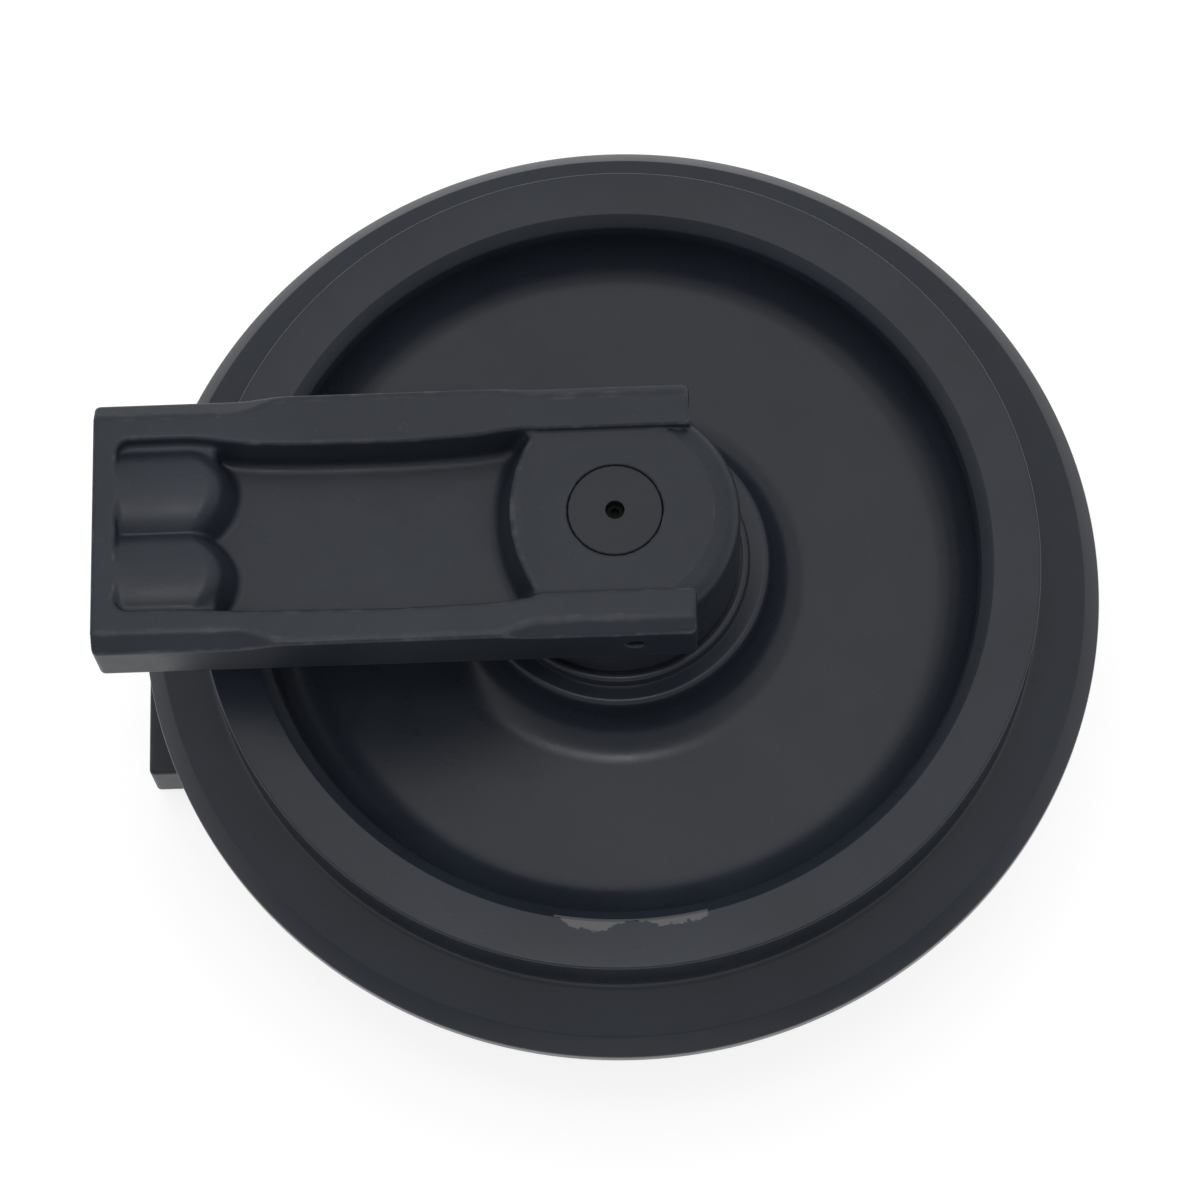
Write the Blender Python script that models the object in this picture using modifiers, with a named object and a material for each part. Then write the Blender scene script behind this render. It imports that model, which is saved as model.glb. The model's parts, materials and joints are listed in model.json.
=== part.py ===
"""Front idler of a crawler excavator, lying on its side on its lower bracket.

Metres, +Z up. The wheel turns about a vertical axis. Every piece is drawn about the
wheel's own centre, with Z on the shaft and X along the bracket rails, and hangs from
one empty that lifts the whole idler onto the ground.
"""

import math

import bmesh
import bpy
from mathutils import Matrix, Vector

# Running fits: the gap between faces that touch on the real idler
FIT_GAP = 0.0003
RUNNING_GAP = 0.0023
CUT_MARGIN = 0.010

# Shaft and its oil way
SHAFT_RADIUS = 0.025
SHAFT_CHAMFER = 0.0006
GALLERY_RADIUS = 0.0025
CROSS_DRILL_RADIUS = 0.003
PORT_RADIUS = 0.0052
PORT_DEPTH = 0.0105
CENTRE_DRILL_RADIUS = 0.004
CENTRE_DRILL_DEPTH = 0.005
PLUG_LENGTH = 0.0045
PLUG_SOCKET_RADIUS = 0.0025
PLUG_SOCKET_DEPTH = 0.003
WASHER_THICKNESS = 0.0008
WASHER_BORE = 0.0028
O_RING_WIRE = 0.0016
O_RING_SQUEEZE = 0.0003
O_RING_OFFSET = 0.0105

# Bushings, pressed into the hub
BUSHING_WALL = 0.0047
BUSHING_COLLAR = 0.0078
BUSHING_COLLAR_THICKNESS = 0.005
BUSHING_LENGTH = 0.037

# Floating seal: two metal rings face to face, each carried by a rubber toric
SEAL_CLEARANCE = 0.0019
SEAL_CORE = 0.0005
SEAL_RING_WALL = 0.0024
SEAL_LIP_WIDTH = 0.0063
SEAL_LIP_THICKNESS = 0.0028
SEAL_RING_TAPER = 0.0007
SEAL_RING_LENGTH = 0.0109
TORIC_WIRE = 0.0044
TORIC_CLEARANCE = 0.0004

# Hub of the wheel
HUB_HALF_WIDTH = 0.0544
HUB_SHOULDER = 0.0146
HUB_DRAFT = 0.0011
HUB_WALL_DEPTH = 0.0164
LABYRINTH_GAP = 0.0013
LABYRINTH_HEIGHT = 0.0022
LABYRINTH_SLOPE = 0.0032
OIL_CHAMBER_DEPTH = 0.022

# Web and rim of the wheel
WEB_HALF_THICKNESS = 0.014
RIM_HALF_WIDTH = 0.0557
RIM_THICKNESS = 0.0254
RIM_MOUTH_WIDTH = 0.0066
RIM_MOUTH_DEPTH = 0.0051
RIM_EDGE = 0.001
RIM_DRAFT = 0.0014
RIM_FILLET = 0.026

# Tread and centre flange of the wheel
TREAD_RADIUS = 0.229
ROOT_FILLET = 0.0046
FLANGE_HEIGHT = 0.036
FLANGE_ROOT_HALF_WIDTH = 0.0195
FLANGE_BEVEL_HEIGHT = 0.009
FLANGE_BEVEL_HALF_WIDTH = 0.0135
FLANGE_CREST_HALF_WIDTH = 0.004

# Bracket: a channel with two rails that slide in the track frame
BOSS_WALL = 0.014
BOSS_LENGTH = 0.0365
BOSS_EDGE = 0.002
RAIL_THICKNESS = 0.0406
RAIL_HALF_HEIGHT = 0.0696
RAIL_FRONT = 0.041
RAIL_CORNER_RADIUS = 0.006
BRACKET_REACH = 0.275
REAR_WALL = 0.0125
POCKET_DEPTH = 0.0255
POCKET_DRAFT = 0.003
POCKET_CORNER = 0.006
POCKET_REAR_HALF_HEIGHT = 0.048
UPPER_RAIL_SWELL = 0.006
LOWER_RAIL_SWELL = -0.0025
PAD_STEP = 0.004
PAD_HALF_HEIGHT = 0.0465
PAD_REAR = 0.056
PAD_REAR_CURVE = 0.088
PAD_WALL_RAKE = 2.4
NOSE_BEVEL = 0.0085

# Bolt bosses in the rear of the pocket
BOLT_SPACING = 0.0472
BOLT_HOLE_RADIUS = 0.00875
BOLT_HOLE_DEPTH = 0.045
LOBE_LENGTH = 0.0645
LOBE_NOSE = 0.016
LOBE_SPREAD = 1.1
LAND_LENGTH = 0.046
LAND_DEPTH = 0.0068

# Flats on the outer corners of the rails
REAR_FLAT_WIDTH = 0.009
REAR_FLAT_DROP = 0.0065
REAR_FLAT_END = 0.078
FRONT_UPPER_FLAT_WIDTH = 0.005
FRONT_LOWER_FLAT_WIDTH = 0.0115
FRONT_FLAT_DROP = 0.0033
FRONT_FLAT_START = 0.070
FLAT_RUN_OUT = 0.026
FLAT_LIFT = 1.5

# Lock pin through the rails, the boss and the shaft
PIN_RADIUS = 0.0046
PIN_OFFSET = 0.0085
PIN_RECESS = 0.010
PIN_EDGE = 0.0008

# Finishes: colour, roughness, metallic
PAINT = ((0.036, 0.040, 0.046), 0.42, 0.0)
CAST_PAINT = ((0.034, 0.038, 0.044), 0.50, 0.0)
DARK_STEEL = ((0.05, 0.05, 0.05), 0.45, 1.0)
STEEL = ((0.55, 0.55, 0.56), 0.30, 1.0)
BRONZE = ((0.62, 0.42, 0.22), 0.35, 1.0)
COPPER = ((0.60, 0.30, 0.18), 0.35, 1.0)
RUBBER = ((0.02, 0.02, 0.02), 0.65, 0.0)

# Facets round a full turn, round a quarter and along the pocket
WHEEL_STEPS = 48
BOSS_STEPS = 40
SHAFT_STEPS = 32
RING_STEPS = 24
LOBE_STEPS = 24
DRILL_STEPS = 16
TORIC_SIDES = 6
HEXAGON = 6
FILLET_STEPS = 4
POCKET_STEPS = 8
SMOOTH_ANGLE = 30

# Radii outward from the shaft, each resting on the one before
BORE_RADIUS = SHAFT_RADIUS + FIT_GAP
BUSHING_RADIUS = BORE_RADIUS + BUSHING_WALL
SEAT_RADIUS = BUSHING_RADIUS + FIT_GAP
COLLAR_RADIUS = BUSHING_RADIUS + BUSHING_COLLAR
CORE_RADIUS = COLLAR_RADIUS + SEAL_CORE
SEAL_INNER_RADIUS = CORE_RADIUS + SEAL_CLEARANCE
SEAL_LIP_RADIUS = SEAL_INNER_RADIUS + SEAL_LIP_WIDTH
SEAL_BODY_RADIUS = SEAL_INNER_RADIUS + SEAL_RING_WALL
TORIC_RADIUS = SEAL_BODY_RADIUS + FIT_GAP + TORIC_WIRE
SEAL_HOUSING_RADIUS = TORIC_RADIUS + TORIC_WIRE + FIT_GAP
BOSS_RADIUS = SEAL_HOUSING_RADIUS + BOSS_WALL
LABYRINTH_RADIUS = BOSS_RADIUS + LABYRINTH_GAP
HUB_RADIUS = BOSS_RADIUS + HUB_SHOULDER
CHAMBER_RADIUS = SEAT_RADIUS + OIL_CHAMBER_DEPTH
RIM_INNER_RADIUS = TREAD_RADIUS - RIM_THICKNESS
CREST_RADIUS = TREAD_RADIUS + FLANGE_HEIGHT

# Heights above the wheel's middle plane
SEAL_PLANE = HUB_HALF_WIDTH + RUNNING_GAP / 2
BOSS_END = HUB_HALF_WIDTH + RUNNING_GAP
COLLAR_FACE = BOSS_END - FIT_GAP
COLLAR_SEAT = COLLAR_FACE - BUSHING_COLLAR_THICKNESS - FIT_GAP
TORIC_PLANE = SEAL_PLANE - FIT_GAP / 2 - SEAL_LIP_THICKNESS - TORIC_CLEARANCE - TORIC_WIRE
SEAL_FLOOR = TORIC_PLANE - TORIC_WIRE - FIT_GAP
BRACKET_INNER = BOSS_END + BOSS_LENGTH
RAIL_FACE = BRACKET_INNER + RAIL_THICKNESS
PAD_FACE = RAIL_FACE - PAD_STEP
POCKET_FLOOR = RAIL_FACE - POCKET_DEPTH
LAND_FACE = RAIL_FACE - LAND_DEPTH
RAIL_MIDDLE = BRACKET_INNER + RAIL_THICKNESS / 2
LOBE_RADIUS = RAIL_THICKNESS / 2 - FIT_GAP
O_RING_PLANE = SEAL_PLANE + (SEAL_PLANE - SEAL_FLOOR) + O_RING_OFFSET
PORT_FLOOR = PAD_FACE - PORT_DEPTH
GALLERY_FLOOR = -2 * CROSS_DRILL_RADIUS

# Where the wheel's centre stands, so that the idler is centred over the origin
AXIS_X = (BRACKET_REACH - CREST_RADIUS) / 2
AXIS_Z = RAIL_FACE


def clear_scene():
    for thing in list(bpy.data.objects):
        bpy.data.objects.remove(thing, do_unlink=True)


def new_collection(name, hidden):
    collection = bpy.data.collections.new(name)
    bpy.context.scene.collection.children.link(collection)
    collection.hide_render = hidden
    return collection


def new_material(name, colour, roughness, metallic):
    material = bpy.data.materials.new(name)
    material.use_nodes = True
    shader = material.node_tree.nodes["Principled BSDF"]
    shader.inputs["Base Color"].default_value = (*colour, 1.0)
    shader.inputs["Roughness"].default_value = roughness
    shader.inputs["Metallic"].default_value = metallic
    return material


def new_helper(name, mesh):
    """An object that only cuts or joins, kept out of the render."""
    helper = bpy.data.objects.new(name, mesh)
    HELPERS.objects.link(helper)
    helper.display_type = "WIRE"
    helper.hide_render = True
    return helper


def mesh_of(builder, name):
    """Turns a filled BMesh into mesh data with its faces outward."""
    bmesh.ops.recalc_face_normals(builder, faces=builder.faces)
    mesh = bpy.data.meshes.new(name)
    builder.to_mesh(mesh)
    builder.free()
    return mesh


def evaluated_mesh(thing, name):
    """The mesh that an object's modifiers or curve settings give."""
    bpy.context.view_layer.update()
    graph = bpy.context.evaluated_depsgraph_get()
    mesh = bpy.data.meshes.new_from_object(thing.evaluated_get(graph), depsgraph=graph)
    mesh.name = name
    return mesh


def arc(centre, radius, start, end, steps):
    """Points of an arc, its angles in degrees."""
    angles = (math.radians(start + (end - start) * i / steps) for i in range(steps + 1))
    return [(centre[0] + radius * math.cos(a), centre[1] + radius * math.sin(a)) for a in angles]


def mirrored(profile):
    """The same profile below the middle plane, in the order that carries it on."""
    return [(r, -z) for r, z in reversed(profile)]


def turned(name, profile, steps, closed):
    """A piece turned on the Z axis from (radius, height) points, outer side from top to bottom."""
    builder = bmesh.new()
    points = [builder.verts.new((r, 0.0, z)) for r, z in profile]
    ends = list(zip(points, points[1:]))
    if closed:
        ends.append((points[-1], points[0]))
    for first, second in ends:
        builder.edges.new((first, second))
    mesh = bpy.data.meshes.new(name + "_profile")
    builder.to_mesh(mesh)
    builder.free()
    lathe = new_helper(name + "_lathe", mesh)
    screw = lathe.modifiers.new("turn", "SCREW")
    screw.steps = steps
    screw.render_steps = steps
    screw.use_merge_vertices = True
    screw.merge_threshold = 0.000001
    screw.use_smooth_shade = False
    result = evaluated_mesh(lathe, name)
    bpy.data.objects.remove(lathe, do_unlink=True)
    return result


def loft(name, sections):
    """A closed skin through rings of matching points, with a flat cap at each end."""
    builder = bmesh.new()
    rings = []
    for section in sections:
        points = [builder.verts.new(p) for p in section]
        rings.append([builder.edges.new(pair) for pair in zip(points, points[1:] + points[:1])])
    for first, second in zip(rings, rings[1:]):
        bmesh.ops.bridge_loops(builder, edges=first + second)
    for ring in (rings[0], rings[-1]):
        bmesh.ops.contextual_create(builder, geom=ring)
    return mesh_of(builder, name)


def cylinder(name, radius, start, end, axis, steps=DRILL_STEPS):
    """A cylinder from start to end along the X, Y or Z axis through that point."""
    builder = bmesh.new()
    start = Vector(start)
    end = Vector(end)
    turn = Vector((0, 0, 1)).rotation_difference(Vector(axis)).to_matrix().to_4x4()
    bmesh.ops.create_cone(
        builder,
        cap_ends=True,
        segments=steps,
        radius1=radius,
        radius2=radius,
        depth=(end - start).length,
        matrix=Matrix.Translation((start + end) / 2) @ turn,
    )
    return mesh_of(builder, name)


def block(name, low, high):
    """A box between two corners."""
    builder = bmesh.new()
    low = Vector(low)
    high = Vector(high)
    size = high - low
    matrix = Matrix.Translation((low + high) / 2) @ Matrix.Diagonal((*size, 1.0))
    bmesh.ops.create_cube(builder, size=1.0, matrix=matrix)
    return mesh_of(builder, name)


def combine(name, mesh, steps):
    """Runs (operation, mesh) Boolean steps on a mesh, in order."""
    work = new_helper(name + "_work", mesh)
    for number, (operation, tool_mesh) in enumerate(steps):
        tool = new_helper(f"{name}_tool_{number:02d}", tool_mesh)
        modifier = work.modifiers.new(f"step_{number:02d}", "BOOLEAN")
        modifier.operation = operation
        modifier.solver = "EXACT"
        modifier.object = tool
    result = evaluated_mesh(work, name)
    bpy.data.objects.remove(work, do_unlink=True)
    return result


def add_piece(name, mesh, finish, side=1):
    """One piece of the idler. The lower side's pieces are the upper ones turned about X."""
    own = mesh.copy()
    own.name = name
    own.materials.clear()
    own.materials.append(new_material(name + "_finish", *finish))
    own.shade_smooth()
    own.set_sharp_from_angle(angle=math.radians(SMOOTH_ANGLE))
    piece = bpy.data.objects.new(name, own)
    PARTS.objects.link(piece)
    piece.parent = CENTRE
    piece.rotation_euler = (0.0 if side > 0 else math.pi, 0.0, 0.0)


def wheel_half_profile():
    """Upper half of the wheel's section, from the oil chamber out to the crest."""
    hub_foot = HUB_HALF_WIDTH - HUB_WALL_DEPTH
    flare = hub_foot - WEB_HALF_THICKNESS
    hub_foot_radius = HUB_RADIUS + HUB_DRAFT
    mouth_radius = RIM_INNER_RADIUS - RIM_MOUTH_WIDTH
    mouth_height = RIM_HALF_WIDTH - RIM_MOUTH_DEPTH
    wall_radius = mouth_radius - RIM_DRAFT
    chamber_half = COLLAR_SEAT - BUSHING_LENGTH
    bevel_radius = CREST_RADIUS - FLANGE_BEVEL_HEIGHT
    root_centre = (TREAD_RADIUS + ROOT_FILLET, FLANGE_ROOT_HALF_WIDTH + ROOT_FILLET)
    bore = [
        (CHAMBER_RADIUS, chamber_half),
        (SEAT_RADIUS, chamber_half),
        (SEAT_RADIUS, COLLAR_SEAT),
        (CORE_RADIUS, COLLAR_SEAT),
        (CORE_RADIUS, SEAL_FLOOR),
        (SEAL_HOUSING_RADIUS, SEAL_FLOOR),
        (SEAL_HOUSING_RADIUS, HUB_HALF_WIDTH),
    ]
    hub = [
        (LABYRINTH_RADIUS, HUB_HALF_WIDTH),
        (LABYRINTH_RADIUS, HUB_HALF_WIDTH + LABYRINTH_HEIGHT),
        (LABYRINTH_RADIUS + LABYRINTH_SLOPE, HUB_HALF_WIDTH),
        (HUB_RADIUS, HUB_HALF_WIDTH),
    ]
    dish = arc((hub_foot_radius + flare, hub_foot), flare, 180, 270, FILLET_STEPS)
    dish += arc((wall_radius - RIM_FILLET, WEB_HALF_THICKNESS + RIM_FILLET), RIM_FILLET, -90, 0, FILLET_STEPS)
    rim = [
        (mouth_radius, mouth_height),
        (RIM_INNER_RADIUS, RIM_HALF_WIDTH),
        (TREAD_RADIUS - RIM_EDGE, RIM_HALF_WIDTH),
        (TREAD_RADIUS, RIM_HALF_WIDTH - RIM_EDGE),
    ]
    flange = arc(root_centre, ROOT_FILLET, 180, 270, FILLET_STEPS // 2)
    flange += [
        (bevel_radius, FLANGE_BEVEL_HALF_WIDTH),
        (CREST_RADIUS, FLANGE_CREST_HALF_WIDTH),
    ]
    return bore + hub + dish + rim + flange


def idler_wheel_mesh():
    """One casting: hub with an oil chamber between its two bushing seats, web, rim and centre flange."""
    half = wheel_half_profile()
    return turned("idler_wheel", half + mirrored(half), WHEEL_STEPS, closed=True)


def bushing_mesh():
    """Bimetal bushing whose collar takes the thrust against the bracket's boss."""
    top = COLLAR_FACE
    under = COLLAR_FACE - BUSHING_COLLAR_THICKNESS
    foot = COLLAR_SEAT - BUSHING_LENGTH
    profile = [
        (BORE_RADIUS, top),
        (COLLAR_RADIUS, top),
        (COLLAR_RADIUS, under),
        (BUSHING_RADIUS, under),
        (BUSHING_RADIUS, foot + SHAFT_CHAMFER),
        (BUSHING_RADIUS - SHAFT_CHAMFER, foot),
        (BORE_RADIUS, foot),
    ]
    return turned("bushing", profile, RING_STEPS, closed=True)


def seal_ring_mesh():
    """Metal seal ring: a lapped lip that runs on its twin, and a tapered body that carries the toric."""
    face = SEAL_PLANE - FIT_GAP / 2
    under_lip = face - SEAL_LIP_THICKNESS
    foot = face - SEAL_RING_LENGTH
    profile = [
        (SEAL_INNER_RADIUS, face),
        (SEAL_LIP_RADIUS, face),
        (SEAL_LIP_RADIUS, under_lip),
        (SEAL_BODY_RADIUS, under_lip),
        (SEAL_BODY_RADIUS, TORIC_PLANE),
        (SEAL_BODY_RADIUS - SEAL_RING_TAPER, foot),
        (SEAL_INNER_RADIUS, foot),
    ]
    return turned("seal_ring", profile, RING_STEPS, closed=True)


def circle_section(radius, height, wire, sides):
    """The section of a round ring, clockwise so that its faces turn outward."""
    return arc((radius, height), wire, 0, -360, sides)[:-1]


def toric_mesh():
    """Rubber toric squeezed between the seal ring and its housing."""
    section = circle_section(TORIC_RADIUS, TORIC_PLANE, TORIC_WIRE, TORIC_SIDES)
    return turned("toric", section, RING_STEPS, closed=True)


def about_seal_plane(mesh):
    """The same piece turned over to the other side of the seal's running face."""
    other = mesh.copy()
    other.transform(Matrix.Translation((0, 0, 2 * SEAL_PLANE)) @ Matrix.Rotation(math.pi, 4, "X"))
    return other


def o_ring_centre():
    return BORE_RADIUS - FIT_GAP - O_RING_WIRE


def shaft_o_ring_mesh():
    section = circle_section(o_ring_centre(), O_RING_PLANE, O_RING_WIRE, TORIC_SIDES)
    return turned("shaft_o_ring", section, RING_STEPS, closed=True)


def pin_hole_mesh(name, side, reach):
    """A bore for the lock pin, across the idler at the height of the rails' middle."""
    height = side * RAIL_MIDDLE
    return cylinder(
        name,
        PIN_RADIUS + FIT_GAP,
        (PIN_OFFSET, -reach, height),
        (PIN_OFFSET, reach, height),
        (0, 1, 0),
    )


def shaft_mesh():
    """Shaft with an oil port in its upper end, a gallery to the oil chamber and a groove for each O-ring."""
    groove_floor = o_ring_centre() - O_RING_WIRE - O_RING_SQUEEZE
    groove_half = O_RING_WIRE + 2 * O_RING_SQUEEZE
    groove = [
        (SHAFT_RADIUS, O_RING_PLANE + groove_half),
        (groove_floor, O_RING_PLANE + groove_half),
        (groove_floor, O_RING_PLANE - groove_half),
        (SHAFT_RADIUS, O_RING_PLANE - groove_half),
    ]
    profile = [
        (0.0, PAD_FACE),
        (SHAFT_RADIUS - SHAFT_CHAMFER, PAD_FACE),
        (SHAFT_RADIUS, PAD_FACE - SHAFT_CHAMFER),
        *groove,
        *mirrored(groove),
        (SHAFT_RADIUS, SHAFT_CHAMFER - PAD_FACE),
        (SHAFT_RADIUS - SHAFT_CHAMFER, -PAD_FACE),
        (CENTRE_DRILL_RADIUS, -PAD_FACE),
        (0.0, CENTRE_DRILL_DEPTH - PAD_FACE),
    ]
    reach = SHAFT_RADIUS + CUT_MARGIN
    above = PAD_FACE + CUT_MARGIN
    cross_drill = cylinder("cross_drill", CROSS_DRILL_RADIUS, (-reach, 0, 0), (reach, 0, 0), (1, 0, 0))
    gallery = cylinder("gallery", GALLERY_RADIUS, (0, 0, GALLERY_FLOOR), (0, 0, above), (0, 0, 1))
    port = cylinder("port", PORT_RADIUS, (0, 0, PORT_FLOOR), (0, 0, above), (0, 0, 1))
    return combine(
        "shaft",
        turned("shaft_blank", profile, SHAFT_STEPS, closed=False),
        [
            ("DIFFERENCE", gallery),
            ("DIFFERENCE", port),
            ("DIFFERENCE", cross_drill),
            ("DIFFERENCE", pin_hole_mesh("upper_pin_bore", 1, reach)),
            ("DIFFERENCE", pin_hole_mesh("lower_pin_bore", -1, reach)),
        ],
    )


def plug_washer_mesh():
    foot = PORT_FLOOR + FIT_GAP
    rim = PORT_RADIUS - FIT_GAP
    top = foot + WASHER_THICKNESS
    profile = [(WASHER_BORE, top), (rim, top), (rim, foot), (WASHER_BORE, foot)]
    return turned("plug_washer", profile, DRILL_STEPS, closed=True)


def oil_plug_mesh():
    """Screw plug with a hexagon socket, sunk in the shaft's oil port."""
    foot = PORT_FLOOR + FIT_GAP + WASHER_THICKNESS + FIT_GAP
    top = foot + PLUG_LENGTH
    blank = cylinder("plug_blank", PORT_RADIUS - FIT_GAP, (0, 0, foot), (0, 0, top), (0, 0, 1))
    floor = top - PLUG_SOCKET_DEPTH
    above = top + CUT_MARGIN
    socket = cylinder("plug_socket", PLUG_SOCKET_RADIUS, (0, 0, floor), (0, 0, above), (0, 0, 1), HEXAGON)
    return combine("oil_plug", blank, [("DIFFERENCE", socket)])


def lock_pin_mesh():
    half = RAIL_HALF_HEIGHT - PIN_RECESS
    end = [(0.0, half), (PIN_RADIUS - PIN_EDGE, half), (PIN_RADIUS, half - PIN_EDGE)]
    mesh = turned("lock_pin", end + mirrored(end), DRILL_STEPS, closed=False)
    mesh.transform(Matrix.Translation((PIN_OFFSET, 0, RAIL_MIDDLE)) @ Matrix.Rotation(math.pi / 2, 4, "X"))
    return mesh


def at_height(outline, height):
    return [(x, y, height) for x, y in outline]


def rail_outline():
    """Plan of the rails, with rounded corners at the front."""
    corner = RAIL_CORNER_RADIUS
    front = RAIL_FRONT - corner
    side = RAIL_HALF_HEIGHT - corner
    outline = [(-BRACKET_REACH, RAIL_HALF_HEIGHT), (-BRACKET_REACH, -RAIL_HALF_HEIGHT)]
    outline += arc((front, -side), corner, -90, 0, FILLET_STEPS)
    outline += arc((front, side), corner, 0, 90, FILLET_STEPS)
    return outline


def pocket_edge(x, swell):
    """Half height of the pocket at x: the rail grows by the swell between its rear and the pad."""
    rear = -BRACKET_REACH + REAR_WALL
    share = (x - rear) / (-PAD_REAR - rear)
    return POCKET_REAR_HALF_HEIGHT - swell * math.sin(math.pi * min(max(share, 0.0), 1.0)) ** 2


def pad_edge(y, inset):
    """X of the pad's bowed rear edge at y. Its wall leans more than the pocket's other walls."""
    return PAD_REAR_CURVE - PAD_REAR - PAD_WALL_RAKE * inset - math.sqrt(PAD_REAR_CURVE**2 - y**2)


def pocket_outline(inset):
    """Plan of the pocket between the rails, from the rear wall to the pad's bowed edge."""
    rear = -BRACKET_REACH + REAR_WALL + inset
    corner = POCKET_CORNER
    half = POCKET_REAR_HALF_HEIGHT - inset
    front = pad_edge(half, inset)
    edge_x = [rear + corner + (front - rear - corner) * i / POCKET_STEPS for i in range(POCKET_STEPS)]
    lower = [(x, inset - pocket_edge(x, LOWER_RAIL_SWELL)) for x in edge_x]
    upper = [(x, pocket_edge(x, UPPER_RAIL_SWELL) - inset) for x in reversed(edge_x)]
    bow = [half * (2 * i / POCKET_STEPS - 1) for i in range(POCKET_STEPS + 1)]
    pad = [(pad_edge(y, inset), y) for y in bow]
    rear_corners = arc((rear + corner, half - corner), corner, 90, 180, FILLET_STEPS)[1:]
    rear_corners += arc((rear + corner, corner - half), corner, 180, 270, FILLET_STEPS)[:-1]
    return lower + pad + upper + rear_corners


def pocket_cutter():
    above = RAIL_FACE + CUT_MARGIN
    flare = POCKET_DRAFT * CUT_MARGIN / POCKET_DEPTH
    sections = [
        at_height(pocket_outline(POCKET_DRAFT), POCKET_FLOOR),
        at_height(pocket_outline(-flare), above),
    ]
    return loft("pocket", sections)


def pad_cutter():
    """Clears the round pad a step below the rails."""
    low = (-PAD_REAR - POCKET_CORNER, -PAD_HALF_HEIGHT, PAD_FACE)
    high = (BOSS_RADIUS + CUT_MARGIN, PAD_HALF_HEIGHT, RAIL_FACE + CUT_MARGIN)
    return block("pad_step", low, high)


def boss_mesh():
    """Round boss that carries the shaft, from the seal out past the pad's bevelled nose."""
    top = PAD_FACE + PAD_STEP / 2
    bevel = arc((BOSS_RADIUS - NOSE_BEVEL, PAD_FACE - NOSE_BEVEL), NOSE_BEVEL, 90, 0, FILLET_STEPS)
    profile = [
        (0.0, top),
        (BOSS_RADIUS - NOSE_BEVEL, top),
        *bevel,
        (BOSS_RADIUS, BOSS_END + BOSS_EDGE),
        (BOSS_RADIUS - BOSS_EDGE, BOSS_END),
        (0.0, BOSS_END),
    ]
    return turned("boss", profile, BOSS_STEPS, closed=False)


def seal_housing_cutter():
    """The groove in the boss that holds the fixed half of the floating seal."""
    floor = 2 * SEAL_PLANE - SEAL_FLOOR
    mouth = BOSS_END - CUT_MARGIN
    profile = [
        (CORE_RADIUS, floor),
        (SEAL_HOUSING_RADIUS, floor),
        (SEAL_HOUSING_RADIUS, mouth),
        (CORE_RADIUS, mouth),
    ]
    return turned("seal_housing", profile, BOSS_STEPS, closed=True)


def lobe_mesh(side):
    """A broad rounded boss along X that holds one bolt, with a domed front end."""
    length = LOBE_LENGTH + REAR_WALL / 2
    dome = [
        (LOBE_RADIUS * math.sin(a), length - LOBE_NOSE + LOBE_NOSE * math.cos(a))
        for a in (math.radians(90 * i / FILLET_STEPS) for i in range(FILLET_STEPS + 1))
    ]
    mesh = turned("lobe", [*dome, (LOBE_RADIUS, 0.0), (0.0, 0.0)], LOBE_STEPS, closed=False)
    start = (-BRACKET_REACH + REAR_WALL / 2, side * BOLT_SPACING / 2, RAIL_MIDDLE)
    spread = Matrix.Diagonal((1.0, LOBE_SPREAD, 1.0, 1.0))
    mesh.transform(Matrix.Translation(start) @ spread @ Matrix.Rotation(math.pi / 2, 4, "Y"))
    return mesh


def land_mesh():
    """The raised land that the two lobes stand on."""
    half = POCKET_REAR_HALF_HEIGHT + POCKET_DRAFT
    low = (-BRACKET_REACH + REAR_WALL / 2, -half, (BRACKET_INNER + POCKET_FLOOR) / 2)
    high = (-BRACKET_REACH + REAR_WALL + LAND_LENGTH, half, LAND_FACE)
    return block("land", low, high)


def bolt_hole_mesh(side):
    height = side * BOLT_SPACING / 2
    start = (-BRACKET_REACH - CUT_MARGIN, height, RAIL_MIDDLE)
    end = (-BRACKET_REACH + BOLT_HOLE_DEPTH, height, RAIL_MIDDLE)
    return cylinder("bolt_hole", BOLT_HOLE_RADIUS, start, end, (1, 0, 0))


def flat_cutter(name, side, full_x, run_x, width, drop):
    """A wedge along a rail's outer corner, at its full depth to full_x and out of the metal at run_x."""
    outward = 1 if full_x > run_x else -1
    slant = Vector((width, -drop)).normalized()
    normal = Vector((drop, width)).normalized()
    corner = Vector((RAIL_HALF_HEIGHT, RAIL_FACE - drop))
    inner = Vector((RAIL_HALF_HEIGHT - width, RAIL_FACE))
    cut_depth = width * drop / math.hypot(width, drop)
    lift = FLAT_LIFT * cut_depth
    stations = [(full_x + outward * BRACKET_REACH, 0.0), (full_x, 0.0)]
    for i in range(1, FILLET_STEPS + 1):
        share = i / FILLET_STEPS
        stations.append((full_x + (run_x - full_x) * share, lift * share**2))
    sections = []
    for x, raised in stations:
        shift = normal * raised
        ring = [
            corner + slant * CUT_MARGIN + shift,
            inner - slant * CUT_MARGIN + shift,
            (corner + inner) / 2 + normal * 2 * CUT_MARGIN + shift,
        ]
        sections.append([(x, side * p.x, p.y) for p in ring])
    return loft(name, sections)


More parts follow.
